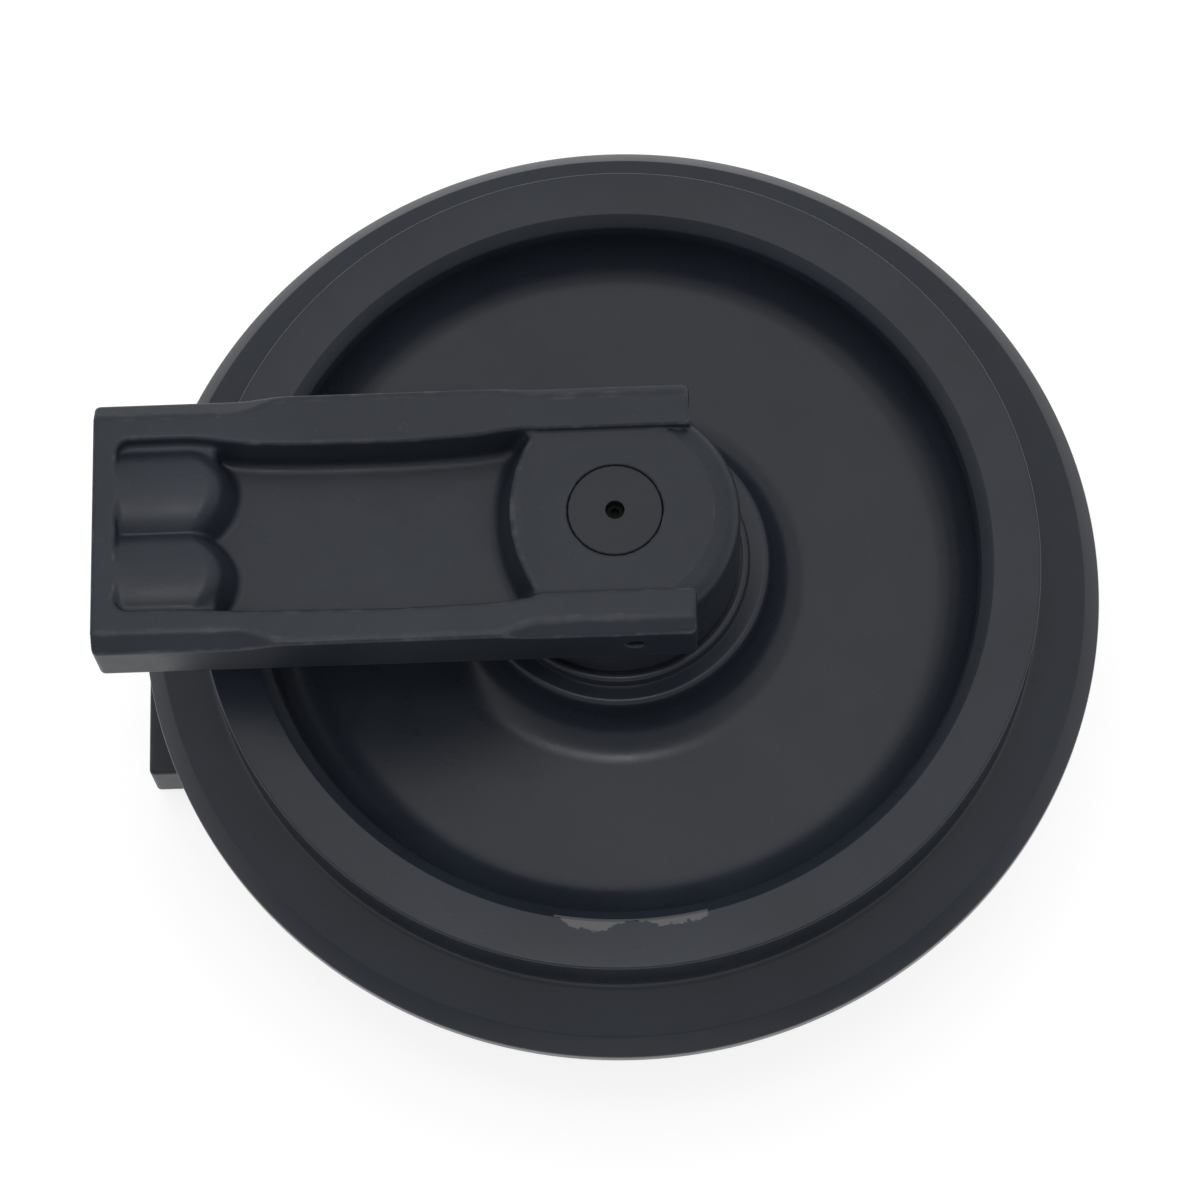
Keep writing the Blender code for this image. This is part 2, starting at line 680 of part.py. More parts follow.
def flat_steps():
    """The cuts that leave a flat on each outer corner, at the rear and at the front."""
    rear_full = -BRACKET_REACH + REAR_FLAT_END
    rear_run = rear_full + FLAT_RUN_OUT
    front_full = FLAT_RUN_OUT - FRONT_FLAT_START
    front_run = -FRONT_FLAT_START
    flats = (
        ("rear_upper_flat", 1, rear_full, rear_run, REAR_FLAT_WIDTH, REAR_FLAT_DROP),
        ("rear_lower_flat", -1, rear_full, rear_run, REAR_FLAT_WIDTH, REAR_FLAT_DROP),
        ("front_upper_flat", 1, front_full, front_run, FRONT_UPPER_FLAT_WIDTH, FRONT_FLAT_DROP),
        ("front_lower_flat", -1, front_full, front_run, FRONT_LOWER_FLAT_WIDTH, FRONT_FLAT_DROP),
    )
    return [("DIFFERENCE", flat_cutter(*flat)) for flat in flats]


def bracket_mesh():
    """One casting: rails, pocket with its bolt lobes, and the boss with its seal housing."""
    rails = loft("rails", [at_height(rail_outline(), BRACKET_INNER), at_height(rail_outline(), RAIL_FACE)])
    bore = cylinder(
        "shaft_bore",
        BORE_RADIUS,
        (0, 0, BOSS_END - CUT_MARGIN),
        (0, 0, RAIL_FACE + CUT_MARGIN),
        (0, 0, 1),
        BOSS_STEPS,
    )
    steps = [
        ("UNION", boss_mesh()),
        ("DIFFERENCE", pocket_cutter()),
        ("DIFFERENCE", pad_cutter()),
        ("UNION", land_mesh()),
        ("UNION", lobe_mesh(1)),
        ("UNION", lobe_mesh(-1)),
        *flat_steps(),
        ("DIFFERENCE", bore),
        ("DIFFERENCE", seal_housing_cutter()),
        ("DIFFERENCE", pin_hole_mesh("bracket_pin_hole", 1, RAIL_HALF_HEIGHT + CUT_MARGIN)),
        ("DIFFERENCE", bolt_hole_mesh(1)),
        ("DIFFERENCE", bolt_hole_mesh(-1)),
    ]
    return combine("bracket", rails, steps)


def build():
    add_piece("idler_wheel", idler_wheel_mesh(), PAINT)
    add_piece("shaft", shaft_mesh(), PAINT)
    add_piece("oil_plug", oil_plug_mesh(), DARK_STEEL)
    add_piece("plug_washer", plug_washer_mesh(), COPPER)

    bracket = bracket_mesh()
    bushing = bushing_mesh()
    ring = seal_ring_mesh()
    toric = toric_mesh()
    pin = lock_pin_mesh()
    o_ring = shaft_o_ring_mesh()
    for place, side in (("upper", 1), ("lower", -1)):
        pieces = (
            ("bracket", bracket, CAST_PAINT),
            ("lock_pin", pin, STEEL),
            ("bushing", bushing, BRONZE),
            ("turning_seal_ring", ring, STEEL),
            ("fixed_seal_ring", about_seal_plane(ring), STEEL),
            ("turning_toric", toric, RUBBER),
            ("fixed_toric", about_seal_plane(toric), RUBBER),
            ("shaft_o_ring", o_ring, RUBBER),
        )
        for kind, mesh, finish in pieces:
            add_piece(f"{place}_{kind}", mesh, finish, side)


clear_scene()
PARTS = new_collection("excavator_front_idler", hidden=False)
HELPERS = new_collection("helpers", hidden=True)
CENTRE = bpy.data.objects.new("wheel_centre", None)
CENTRE.location = (AXIS_X, 0.0, AXIS_Z)
PARTS.objects.link(CENTRE)
build()
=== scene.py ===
"""Looks for the front idler: detailed castings, procedural finishes, camera, floor and light."""

import json
import math

import bpy
import numpy as np
from mathutils import Matrix, Vector


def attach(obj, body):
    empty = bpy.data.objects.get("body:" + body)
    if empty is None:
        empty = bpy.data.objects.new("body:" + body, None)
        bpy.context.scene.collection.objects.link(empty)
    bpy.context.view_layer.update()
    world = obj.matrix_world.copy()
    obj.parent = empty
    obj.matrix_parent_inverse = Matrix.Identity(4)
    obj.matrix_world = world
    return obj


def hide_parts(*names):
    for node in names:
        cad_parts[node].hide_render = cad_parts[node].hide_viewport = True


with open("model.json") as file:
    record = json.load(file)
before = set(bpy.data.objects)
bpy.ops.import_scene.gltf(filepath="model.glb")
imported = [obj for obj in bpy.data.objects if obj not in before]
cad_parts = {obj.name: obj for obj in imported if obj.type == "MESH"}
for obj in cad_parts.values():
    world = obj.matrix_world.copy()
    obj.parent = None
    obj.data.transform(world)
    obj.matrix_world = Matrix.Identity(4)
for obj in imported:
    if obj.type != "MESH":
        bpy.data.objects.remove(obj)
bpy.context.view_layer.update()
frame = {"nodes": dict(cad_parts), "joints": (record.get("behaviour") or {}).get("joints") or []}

MM = 0.001

# Where the wheel's centre stands in the frame
SPIN = Vector(frame["joints"][0]["pos_m"])

# Bracket, in millimetres about the wheel's centre: X towards the front, Z along the shaft
REAR = -275.0
RAIL_FRONT = 41.0
RAIL_SIDE = 69.6
INNER_FACE = 93.2
RAIL_FACE = 133.8
RAIL_MIDDLE = (INNER_FACE + RAIL_FACE) / 2
BOSS_RADIUS = 66.0
BOSS_END = 56.7
INSIDE_REAR = REAR + 4.0
INSIDE_PLATE = INNER_FACE + 6.0

# Pocket between the rails: its upper and lower edges along X, wall, floor and draft
UPPER_RAIL_X = (-300.0, -222.0, -192.0, -160.0, -110.0, -75.0, -55.0, -40.0)
UPPER_RAIL_EDGE = (47.5, 47.5, 42.6, 41.2, 41.2, 42.8, 45.5, 46.5)
LOWER_RAIL_X = (-300.0, -225.0, -195.0, -115.0, -60.0, -45.0)
LOWER_RAIL_EDGE = (47.5, 48.0, 50.2, 51.3, 50.0, 47.5)
EDGE_SPAN = (-400.0, 200.0)
EDGE_SOFTNESS = 14
REAR_WALL = 12.5
POCKET_FLOOR = 108.3
POCKET_DRAFT = 0.118
POCKET_CORNER = 7.0
POCKET_FILLET = 4.5

# Pad round the shaft's end, which ends the pocket in a bow and sinks in softly between its rails
PAD_FACE = 129.8
PAD_CURVE = 77.0
PAD_REAR = 54.7
PAD_RAKE = 0.33
PAD_CORNER = 6.5
PAD_HALF = 45.5
PAD_START = -64.0
PAD_FULL = -32.0
PAD_RISE = 0.8

# Boss's sloping nose beyond the rails
NOSE_START = 52.0
NOSE_SLOPE = 0.28
NOSE_HEIGHT = 0.96
NOSE_ROUND = 7.0

# Two bolt lobes at the rear, and the flat lands beside them
BOLT_SIDE = 23.6
LOBE_RADIUS = 36.0
LOBE_TOP = 133.5
LOBE_HALF_WIDTH = 22.4
LOBE_SHIFT = -3.0
LOBE_TIP = -200.0
LOBE_BOW = 12.0
LOBE_RAKE = 0.34
LOBE_FRONT_SCALE = 0.9
LOBE_SIDE_EDGE = 5.0
LOBE_FRONT_EDGE = 7.0
LAND_FRONT = -210.0
LAND_FACE = 126.4
LAND_SIDE = 31.0
LAND_INSET = 6.0
LAND_EDGE = 4.0

# Radii of the bracket's rounded edges and inner fillets
FRONT_CORNER = 4.0
REAR_CORNER = 3.0
PLATE_EDGE = 2.5
BOSS_EDGE = 2.0
BOSS_FILLET = 5.0
CAST_FILLET = 3.0
RAIL_EDGE = 1.6
FLAT_EDGE = 1.2
POCKET_EDGE = 2.4
HOLE_EDGE = 1.2
BORE_EDGE = 0.8

# Flats on the rails' outer corners: where they run out, and their width and drop along, at the rear
# and at the front of the side towards +Y and of the side towards -Y
REAR_FLAT_END = (REAR + 74.0, REAR + 104.0)
FRONT_FLAT_START = (-66.0, -40.0)
FLAT_WIDTH = 1.6
FLAT_DROP = 0.8
REAR_FLAT_GROWTH = (7.9, 5.8)
FRONT_FLATS = ((1, 5.5, 3.4), (-1, 8.5, 4.6))

# Shaft's bore, lock pin's hole, bolt holes and the seal's ring-shaped housing
BORE = 25.3
PIN_X = 8.5
PIN_HOLE = 4.9
BOLT_HOLE = 8.75
BOLT_DEPTH = 45.0
SEAL_INNER = 38.3
SEAL_OUTER = 52.0
SEAL_DEPTH = 68.0

# The bracket's mesh: spacing of its grid, how its points are drawn onto the surface, and how its edges
# are found for the worn paint
GRID = 1.25
PULLS = 2
PULL_STEP = 0.2
PULL_LIMIT = 0.4
LEAST_SLOPE = 0.25
EDGE_STEP = 0.8
EDGE_GAIN = 1.2

# Wheel, in millimetres: radius, height and fillet of each corner of the upper half of its section
WHEEL_CORNERS = (
    (52.3, 14.1, 0), (30.3, 14.1, 0), (30.3, 51.1, 0), (38.3, 51.1, 0), (38.3, 43.1, 0), (52.0, 43.1, 0),
    (52.0, 54.4, 0.6), (67.3, 54.4, 0), (67.3, 56.0, 0.2), (71.0, 56.0, 2.9), (71.8, 49.2, 0.3),
    (82.6, 50.4, 3.6), (83.4, 14.0, 23.0), (195.6, 14.0, 26.0), (195.6, 46.0, 9.0), (197.0, 50.6, 2.5),
    (203.6, 55.7, 1.2), (229.0, 55.7, 1.3), (229.0, 20.7, 4.6), (256.0, 13.5, 2.2), (265.0, 4.0, 2.4),
)
WHEEL_STEPS = 288
SHARP_ANGLE = math.radians(32)

# Chipped paint at the front of the rim's upper inner edge, in metres: two patches and the thin line
# between them, each with its middle along X, half length and depth; then the middle and half length of
# the whole, its inner radius, the height it lies above, and how ragged and how soft its outline is
CHIPS = ((-0.0205, 0.0165, 0.0052), (0.0265, 0.0185, 0.0034), (0.002, 0.041, 0.0011))
CHIP_MIDDLE = 0.001
CHIP_HALF = 0.041
CHIP_EDGE = 0.2030
CHIP_HEIGHT = 0.045
CHIP_RAGGED = 0.0022
CHIP_SOFT = 0.0003
CHIP_MARGIN = 0.001

# Paint: its colours, its darker and paler mottling and fine grain, the share of wear, and its gloss
TONE = (0.0140, 0.0178, 0.0258)
DIM_TONE = tuple(v * 0.72 for v in TONE)
WORN_TONE = (0.16, 0.165, 0.17)
SPECK_TONE = (0.085, 0.088, 0.094)
CHIP_TONE = (0.086, 0.086, 0.088)
DARK_MOTTLE = 0.90
PALE_MOTTLE = 1.12
PALE_GRAIN = 1.5
WEAR = 0.28
SPECULAR = 0.30

# Camera of the photograph: azimuth, elevation and roll in degrees, place about the wheel's centre in metres
CAMERA_TURN = (2.988, 71.0926, -4.7869)
CAMERA_PLACE = (0.0250, -0.7042, 2.0430)
CAMERA_LENS = 116.546
CAMERA_SENSOR = 36.0

# Floor: half its side in metres, its grey and glow as seen, and the grey that lights the idler
FLOOR_REACH = 60.0
FLOOR_GREY = 0.40
FLOOR_GLOW = 0.735
FLOOR_DIM = 0.25

# Sky's strength: over most of it, in the band in front, and near the horizon in front. The ranges are
# of the direction's share along Y, over which it goes from the band's strength to the brighter one
SKY = 0.92
SKY_BAND = 0.55
SKY_LOW = 1.0
SKY_RANGE = (-0.55, -0.25)
SKY_LOW_RANGE = (-0.86, -0.96)

# Disc-shaped light above: place about the wheel's centre in metres, watts and diameter
OVERHEAD = ((0.15, 0.55, 3.0), 13.5, 2.9)

# Spot lamps: name, place and target about the wheel's centre, watts, softness in metres, cone in degrees
SPOTS = (
    ("hub", (-0.06, -0.22, 1.05), (-0.02, -0.13, 0.02), 5.6, 0.12, 15),
    ("lobes", (-0.235, -0.36, 1.05), (-0.22, -0.01, 0.12), 10.0, 0.10, 13),
)
SPOT_BLEND = 0.7


def smooth_step(value, low, high):
    share = np.clip((value - low) / (high - low), 0.0, 1.0)
    return share * share * (3 - 2 * share)


def join(a, b, radius):
    """Union of two distance fields with a fillet of that radius."""
    u = np.maximum(radius - a, 0.0)
    v = np.maximum(radius - b, 0.0)
    return np.maximum(radius, np.minimum(a, b)) - np.hypot(u, v)


def meet(a, b, radius):
    """Overlap of two distance fields with its edge rounded to that radius."""
    u = np.maximum(radius + a, 0.0)
    v = np.maximum(radius + b, 0.0)
    return np.minimum(-radius, np.maximum(a, b)) + np.hypot(u, v)


def cut(a, b, radius):
    """The first field less the second, with its edge rounded to that radius."""
    return meet(a, -b, radius)


def soft_line(knots, values):
    """A line through the knots with its bends eased, as a table over X."""
    along = np.arange(*EDGE_SPAN)
    window = np.hanning(2 * EDGE_SOFTNESS + 1)
    reach = len(window) // 2
    padded = np.pad(np.interp(along, knots, values), reach, mode="edge")
    return along, np.convolve(padded, window / window.sum(), mode="valid")


UPPER_EDGE = soft_line(UPPER_RAIL_X, UPPER_RAIL_EDGE)
LOWER_EDGE = soft_line(LOWER_RAIL_X, LOWER_RAIL_EDGE)


def pocket_field(x, y, z):
    """Distance to the pocket between the rails: wavy sides, rear wall, bowed front and floor."""
    depth = RAIL_FACE - z
    sides = np.maximum(y - np.interp(x, *UPPER_EDGE), -y - np.interp(x, *LOWER_EDGE))
    plan = meet(sides, REAR + REAR_WALL - x, POCKET_CORNER) + depth * POCKET_DRAFT
    pad = PAD_CURVE - np.hypot(x - PAD_CURVE + PAD_REAR, y) + depth * PAD_RAKE
    return meet(meet(plan, pad, PAD_CORNER), POCKET_FLOOR - z, POCKET_FILLET)


def lobe_field(x, y, z, side):
    """Distance to a broad rounded boss along X, bowed and raked at its front."""
    off = y - side * BOLT_SIDE - LOBE_SHIFT
    crown = np.hypot(off, z - LOBE_TOP + LOBE_RADIUS) - LOBE_RADIUS
    barrel = meet(crown, side * off - LOBE_HALF_WIDTH, LOBE_SIDE_EDGE)
    bow = LOBE_BOW * np.minimum((off / LOBE_HALF_WIDTH)**2, 1.0)
    front = (x - LOBE_TIP + bow + LOBE_RAKE * (z - POCKET_FLOOR)) * LOBE_FRONT_SCALE
    hidden = np.maximum(INSIDE_REAR - x, INSIDE_PLATE - z)
    return np.maximum(meet(barrel, front, LOBE_FRONT_EDGE), hidden)


def flat_field(x, y, z):
    """Distance outside the flats on the rails' outer corners, which run out along the rail."""
    rear = 1.0 - smooth_step(x, *REAR_FLAT_END)
    front = smooth_step(x, *FRONT_FLAT_START)
    wider, deeper = REAR_FLAT_GROWTH
    result = None
    for side, front_width, front_drop in FRONT_FLATS:
        width = FLAT_WIDTH + wider * rear + (front_width - FLAT_WIDTH) * front
        drop = FLAT_DROP + deeper * rear + (front_drop - FLAT_DROP) * front
        across = side * y - RAIL_SIDE
        up = z - RAIL_FACE
        plane = (across * drop + up * width + width * drop) / np.hypot(width, drop)
        result = plane if result is None else np.maximum(result, plane)
    return result


def bracket_field(x, y, z):
    """Signed distance to the bracket casting, in millimetres."""
    rho = np.hypot(x, y)
    middle = (REAR + RAIL_FRONT) / 2
    half = (RAIL_FRONT - REAR) / 2
    across = np.abs(y) - RAIL_SIDE
    ahead = meet(across, x - RAIL_FRONT, FRONT_CORNER)
    plan = np.where(x > 0, ahead, meet(across, REAR - x, REAR_CORNER))
    plan = np.maximum(plan, np.abs(x - middle) - half)
    plate = meet(plan, INNER_FACE - z, PLATE_EDGE)
    boss = meet(rho - BOSS_RADIUS, BOSS_END - z, BOSS_EDGE)
    body = meet(join(plate, boss, BOSS_FILLET), z - RAIL_FACE, RAIL_EDGE)
    # The pad between the rails, sinking in softly, and the boss's nose beyond the rails
    low = np.minimum(np.maximum(np.abs(y) - PAD_HALF, PAD_START - x), RAIL_FRONT - x)
    above = RAIL_FACE + PAD_RISE
    face = above + (PAD_FACE - above) * smooth_step(x, PAD_START, PAD_FULL)
    body = cut(body, meet(low, face - z, RAIL_EDGE), RAIL_EDGE)
    slope = (z - PAD_FACE) * NOSE_HEIGHT + (rho - NOSE_START) * NOSE_SLOPE
    nose = meet(rho - BOSS_RADIUS, slope, NOSE_ROUND)
    body = np.maximum(body, np.minimum(nose, np.minimum(-low, x)))
    body = meet(body, flat_field(x, y, z), FLAT_EDGE)
    body = cut(body, pocket_field(x, y, z), POCKET_EDGE)
    # Lands beside the lobes, then the lobes
    land = meet(z - LAND_FACE, x - LAND_FRONT, LAND_EDGE)
    land = np.maximum(land, np.maximum(LAND_SIDE - np.abs(y), across + LAND_INSET))
    land = np.maximum(land, np.maximum(INSIDE_REAR - x, INSIDE_PLATE - z))
    body = join(body, land, CAST_FILLET)
    lobes = np.minimum(lobe_field(x, y, z, 1), lobe_field(x, y, z, -1))
    body = np.maximum(join(body, lobes, CAST_FILLET), z - RAIL_FACE)
    for side in (1, -1):
        hole = np.hypot(y - side * BOLT_SIDE, z - RAIL_MIDDLE) - BOLT_HOLE
        body = cut(body, np.maximum(hole, x - REAR - BOLT_DEPTH), HOLE_EDGE)
    body = cut(body, rho - BORE, BORE_EDGE)
    seal = np.maximum(np.maximum(SEAL_INNER - rho, rho - SEAL_OUTER), z - SEAL_DEPTH)
    body = np.maximum(body, -seal)
    return cut(body, np.hypot(x - PIN_X, z - RAIL_MIDDLE) - PIN_HOLE, BORE_EDGE)


def field_gradient(field, points, step):
    """Slope and curvature of a field at points, by differences."""
    here = field(*points.T)
    slope = np.zeros_like(points)
    bend = -6.0 * here
    for axis in range(3):
        shift = np.zeros(3)
        shift[axis] = step
        ahead = field(*(points + shift).T)
        behind = field(*(points - shift).T)
        slope[:, axis] = (ahead - behind) / (2 * step)
        bend += ahead + behind
    return here, slope, bend / step**2


def surface_net(field, low, high, spacing):
    """Quads over the zero surface of a distance field, drawn onto it."""
    counts = [int(math.ceil((h - l) / spacing)) + 1 for l, h in zip(low, high)]
    lines = [l + spacing * np.arange(n) for l, n in zip(low, counts)]
    values = field(*np.meshgrid(*lines, indexing="ij"))
    inside = values < 0
    corners = [(a, b, c) for a in (0, 1) for b in (0, 1) for c in (0, 1)]
    nx, ny, nz = counts

    def corner(grid, a, b, c):
        return grid[a:nx - 1 + a, b:ny - 1 + b, c:nz - 1 + c]

    filled = sum(corner(inside, *c).astype(np.int8) for c in corners)
    active = (filled > 0) & (filled < 8)
    index = np.full(active.shape, -1, np.int64)
    index[active] = np.arange(active.sum())
    cells = np.argwhere(active)
    total = np.zeros((len(cells), 3))
    weight = np.zeros(len(cells))
    for axis in range(3):
        for start in corners:
            if start[axis]:
                continue
            end = tuple(v + (n == axis) for n, v in enumerate(start))
            first = corner(values, *start)[active]
            second = corner(values, *end)[active]
            crossing = (first < 0) != (second < 0)
            share = np.where(crossing, first / np.where(crossing, first - second, 1.0), 0.0)
            point = np.array(start, float)[None, :] * crossing[:, None]
            point[:, axis] += share
            total += point
            weight += crossing
    points = np.array(low) + spacing * (cells + total / weight[:, None])
    quads = []
    for axis in range(3):
        first, second = (axis + 1) % 3, (axis + 2) % 3
        low_side = [slice(1, n - 1) for n in counts]
        high_side = list(low_side)
        low_side[axis] = slice(0, counts[axis] - 1)
        high_side[axis] = slice(1, counts[axis])
        before = inside[tuple(low_side)]
        after = inside[tuple(high_side)]
        where = np.argwhere(before != after)
        offset = np.ones(3, int)
        offset[axis] = 0
        base = where + offset
        ring = []
        for da, db in ((0, 0), (-1, 0), (-1, -1), (0, -1)):
            cell = base.copy()
            cell[:, first] += da
            cell[:, second] += db
            ring.append(index[tuple(cell.T)])
        ring = np.stack(ring, 1)
        outward = before[tuple(where.T)]
        ring[~outward] = ring[~outward][:, ::-1]
        quads.append(ring)
    furthest = PULL_LIMIT * spacing
    for _ in range(PULLS):
        here, slope, _ = field_gradient(field, points, PULL_STEP)
        length = np.maximum((slope**2).sum(1), LEAST_SLOPE)
        move = slope * (here / length)[:, None]
        points = points - np.clip(move, -furthest, furthest)
    return points, np.concatenate(quads)


def new_object(name, mesh, body, material, replaced):
    piece = bpy.data.objects.new(name, mesh)
    bpy.context.scene.collection.objects.link(piece)
    mesh.materials.append(material)
    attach(piece, body)
    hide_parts(*replaced)
    return piece


def mesh_from(name, points, faces):
    mesh = bpy.data.meshes.new(name)
    mesh.from_pydata(points.tolist(), [], faces.tolist())
    mesh.shade_smooth()
    return mesh


def bracket_casting():
    low = (REAR - 2 * GRID, -RAIL_SIDE - 2 * GRID, BOSS_END - 2 * GRID)
    high = (BOSS_RADIUS + 2 * GRID, RAIL_SIDE + 2 * GRID, RAIL_FACE + 2 * GRID)
    points, quads = surface_net(bracket_field, low, high, GRID)
    _, _, bend = field_gradient(bracket_field, points, EDGE_STEP)
    mesh = mesh_from("bracket_casting", points * MM, quads)
    worn = mesh.attributes.new("edge", "FLOAT", "POINT")
    worn.data.foreach_set("value", np.clip(bend * EDGE_GAIN, -1.0, 1.0).astype(np.float32))
    return mesh


def placed(mesh, side):
    """A copy of a mesh at the upper or lower end of the shaft."""
    own = mesh.copy()
    turn = 0.0 if side > 0 else math.pi
    own.transform(Matrix.Translation(SPIN) @ Matrix.Rotation(turn, 4, "X"))
    return own


def rounded(corners, steps=8):
    """A closed profile through (radius, height, fillet) corners, with each fillet as an arc."""
    points = []
    for number, (r, z, fillet) in enumerate(corners):
        here = np.array((r, z))
        if not fillet:
            points.append(here)
            continue
        before = np.array(corners[number - 1][:2]) - here
        after = np.array(corners[(number + 1) % len(corners)][:2]) - here
        before /= np.hypot(*before)
        after /= np.hypot(*after)
        half = math.acos(float(np.clip(before @ after, -1.0, 1.0))) / 2
        middle = (before + after) / np.hypot(*(before + after))
        centre = here + middle * fillet / math.sin(half)
        start = here + before * fillet / math.tan(half) - centre
        end = here + after * fillet / math.tan(half) - centre
        first = math.atan2(start[1], start[0])
        sweep = (math.atan2(end[1], end[0]) - first + math.pi) % (2 * math.pi) - math.pi
        count = max(2, round(steps * abs(sweep) / (math.pi / 2)))
        for i in range(count + 1):
            angle = first + sweep * i / count
            points.append(centre + fillet * np.array((math.cos(angle), math.sin(angle))))
    return points


def mirrored(corners):
    return [(r, -z, fillet) for r, z, fillet in reversed(corners)]


def turned(name, profile, steps):
    """A ring section turned about the wheel's axis, outer side from top to bottom."""
    section = np.array(profile)
    count = len(section)
    angles = np.arange(steps) * 2 * math.pi / steps
    points = np.stack([
        np.outer(np.cos(angles), section[:, 0]),
        np.outer(np.sin(angles), section[:, 0]),
        np.tile(section[:, 1], (steps, 1)),
    ], axis=2).reshape(-1, 3)
    ring = np.arange(count)
    ahead = (ring + 1) % count
    quads = []
    for step in range(steps):
        here = step * count
        there = (step + 1) % steps * count
        quads.append(np.stack([here + ring, here + ahead, there + ahead, there + ring], 1))
    mesh = mesh_from(name, points * MM, np.concatenate(quads))
    mesh.set_sharp_from_angle(angle=SHARP_ANGLE)
    return mesh


def wheel_casting():
    """The wheel with the fillets and small edges of the real casting."""
    half = list(WHEEL_CORNERS)
    return turned("wheel_casting", rounded(half + mirrored(half)), WHEEL_STEPS)


def add(tree, kind, sockets=(), **settings):
    """A shader node with its settings, and its inputs set or linked by number or name."""
    node = tree.nodes.new(kind)
    for name, value in settings.items():
        setattr(node, name, value)
    for name, value in dict(sockets).items():
        if isinstance(value, bpy.types.NodeSocket):
            tree.links.new(value, node.inputs[name])
        else:
            node.inputs[name].default_value = value
    return node


def maths(tree, operation, first, second=0.0):
    return add(tree, "ShaderNodeMath", {0: first, 1: second}, operation=operation).outputs[0]


def noise(tree, place, scale, detail=4.0, roughness=0.55):
    sockets = {"Vector": place, "Scale": scale, "Detail": detail, "Roughness": roughness}
    return add(tree, "ShaderNodeTexNoise", sockets).outputs["Fac"]


def spread(tree, value, low, high, out_low=0.0, out_high=1.0):
    """Maps a value's range onto another and clamps it."""
    sockets = {"Value": value, "From Min": low, "From Max": high, "To Min": out_low, "To Max": out_high}
    return add(tree, "ShaderNodeMapRange", sockets).outputs["Result"]


def blended(tree, share, first, second):
    node = add(tree, "ShaderNodeMix", data_type="RGBA")
    for name, value in ((0, share), (6, first), (7, second)):
        if isinstance(value, bpy.types.NodeSocket):
            tree.links.new(value, node.inputs[name])
        elif name == 0:
            node.inputs[name].default_value = value
        else:
            node.inputs[name].default_value = (*value, 1.0)
    return node.outputs[2]


def bumped(tree, height, distance, normal=None):
    node = add(tree, "ShaderNodeBump", {"Height": height, "Distance": distance, "Strength": 1.0})
    if normal:
        tree.links.new(normal, node.inputs["Normal"])
    return node.outputs["Normal"]


def new_material(name):
    material = bpy.data.materials.new(name)
    material.use_nodes = True
    tree = material.node_tree
    place = add(tree, "ShaderNodeTexCoord").outputs["Object"]
    return material, tree, tree.nodes["Principled BSDF"], place


def paint(name, tone, rough, cast, grit, edge):
    """Dark satin paint over a casting: mottled tone, small specks, paler worn edges, cast grain."""
    material, tree, shader, place = new_material(name)
    dark = tuple(v * DARK_MOTTLE for v in tone)
    pale = tuple(v * PALE_MOTTLE for v in tone)
    paler = tuple(v * PALE_GRAIN for v in tone)
    broad = noise(tree, place, 14.0, 5.0)
    fine = noise(tree, place, 260.0, 3.0)
    colour = blended(tree, spread(tree, broad, 0.35, 0.65), dark, pale)
    colour = blended(tree, spread(tree, fine, 0.5, 0.8, 0.0, 0.2), colour, paler)
    if edge:
        bend = add(tree, "ShaderNodeAttribute", attribute_name="edge").outputs["Fac"]
        patchy = spread(tree, noise(tree, place, 90.0), 0.5, 0.7)
        worn = maths(tree, "MULTIPLY", spread(tree, bend, 0.15, 0.8), patchy)
        colour = blended(tree, maths(tree, "MULTIPLY", worn, WEAR), colour, WORN_TONE)
        speck = spread(tree, noise(tree, place, 520.0, 2.0), 0.64, 0.82, 0.0, 0.22)
        colour = blended(tree, speck, colour, SPECK_TONE)
    tree.links.new(colour, shader.inputs["Base Color"])
    streak = noise(tree, place, 45.0, 6.0, 0.65)
    tree.links.new(spread(tree, streak, 0.3, 0.7, rough - 0.03, rough + 0.05), shader.inputs["Roughness"])
    normal = bumped(tree, noise(tree, place, 70.0, 3.0), cast)
    if grit:
        normal = bumped(tree, noise(tree, place, 300.0, 3.0), grit, normal)
    tree.links.new(normal, shader.inputs["Normal"])
    shader.inputs["Specular IOR Level"].default_value = SPECULAR
    return material, tree, shader, place, colour


def chipped(tree, shader, place, colour):
    """Two patches and a thin line at the rim's upper inner edge where the paint has come off."""
    local = add(tree, "ShaderNodeVectorMath", {0: place, 1: tuple(SPIN)}, operation="SUBTRACT").outputs[0]
    along, across, up = add(tree, "ShaderNodeSeparateXYZ", {0: local}).outputs
    squares = [maths(tree, "POWER", axis, 2.0) for axis in (along, across)]
    radius = maths(tree, "SQRT", maths(tree, "ADD", *squares))
    depth = None
    for middle, half, deep in CHIPS:
        off = maths(tree, "ABSOLUTE", maths(tree, "SUBTRACT", along, middle))
        one = spread(tree, off, half, half * 0.55, 0.0, deep)
        depth = one if depth is None else maths(tree, "MAXIMUM", depth, one)
    ragged = spread(tree, noise(tree, place, 150.0, 4.0, 0.7), 0.3, 0.7, -1.0, 1.0)
    depth = maths(tree, "ADD", depth, maths(tree, "MULTIPLY", ragged, CHIP_RAGGED))
    gap = maths(tree, "SUBTRACT", maths(tree, "SUBTRACT", radius, CHIP_EDGE), depth)
    bare = spread(tree, gap, CHIP_SOFT, -CHIP_SOFT)
    off = maths(tree, "ABSOLUTE", maths(tree, "SUBTRACT", along, CHIP_MIDDLE))
    for limit in (
        maths(tree, "GREATER_THAN", up, CHIP_HEIGHT),
        maths(tree, "LESS_THAN", across, 0.0),
        maths(tree, "GREATER_THAN", radius, CHIP_EDGE - CHIP_MARGIN),
        spread(tree, off, CHIP_HALF, CHIP_HALF - CHIP_MARGIN),
    ):
        bare = maths(tree, "MULTIPLY", bare, limit)
    tree.links.new(blended(tree, bare, colour, CHIP_TONE), shader.inputs["Base Color"])


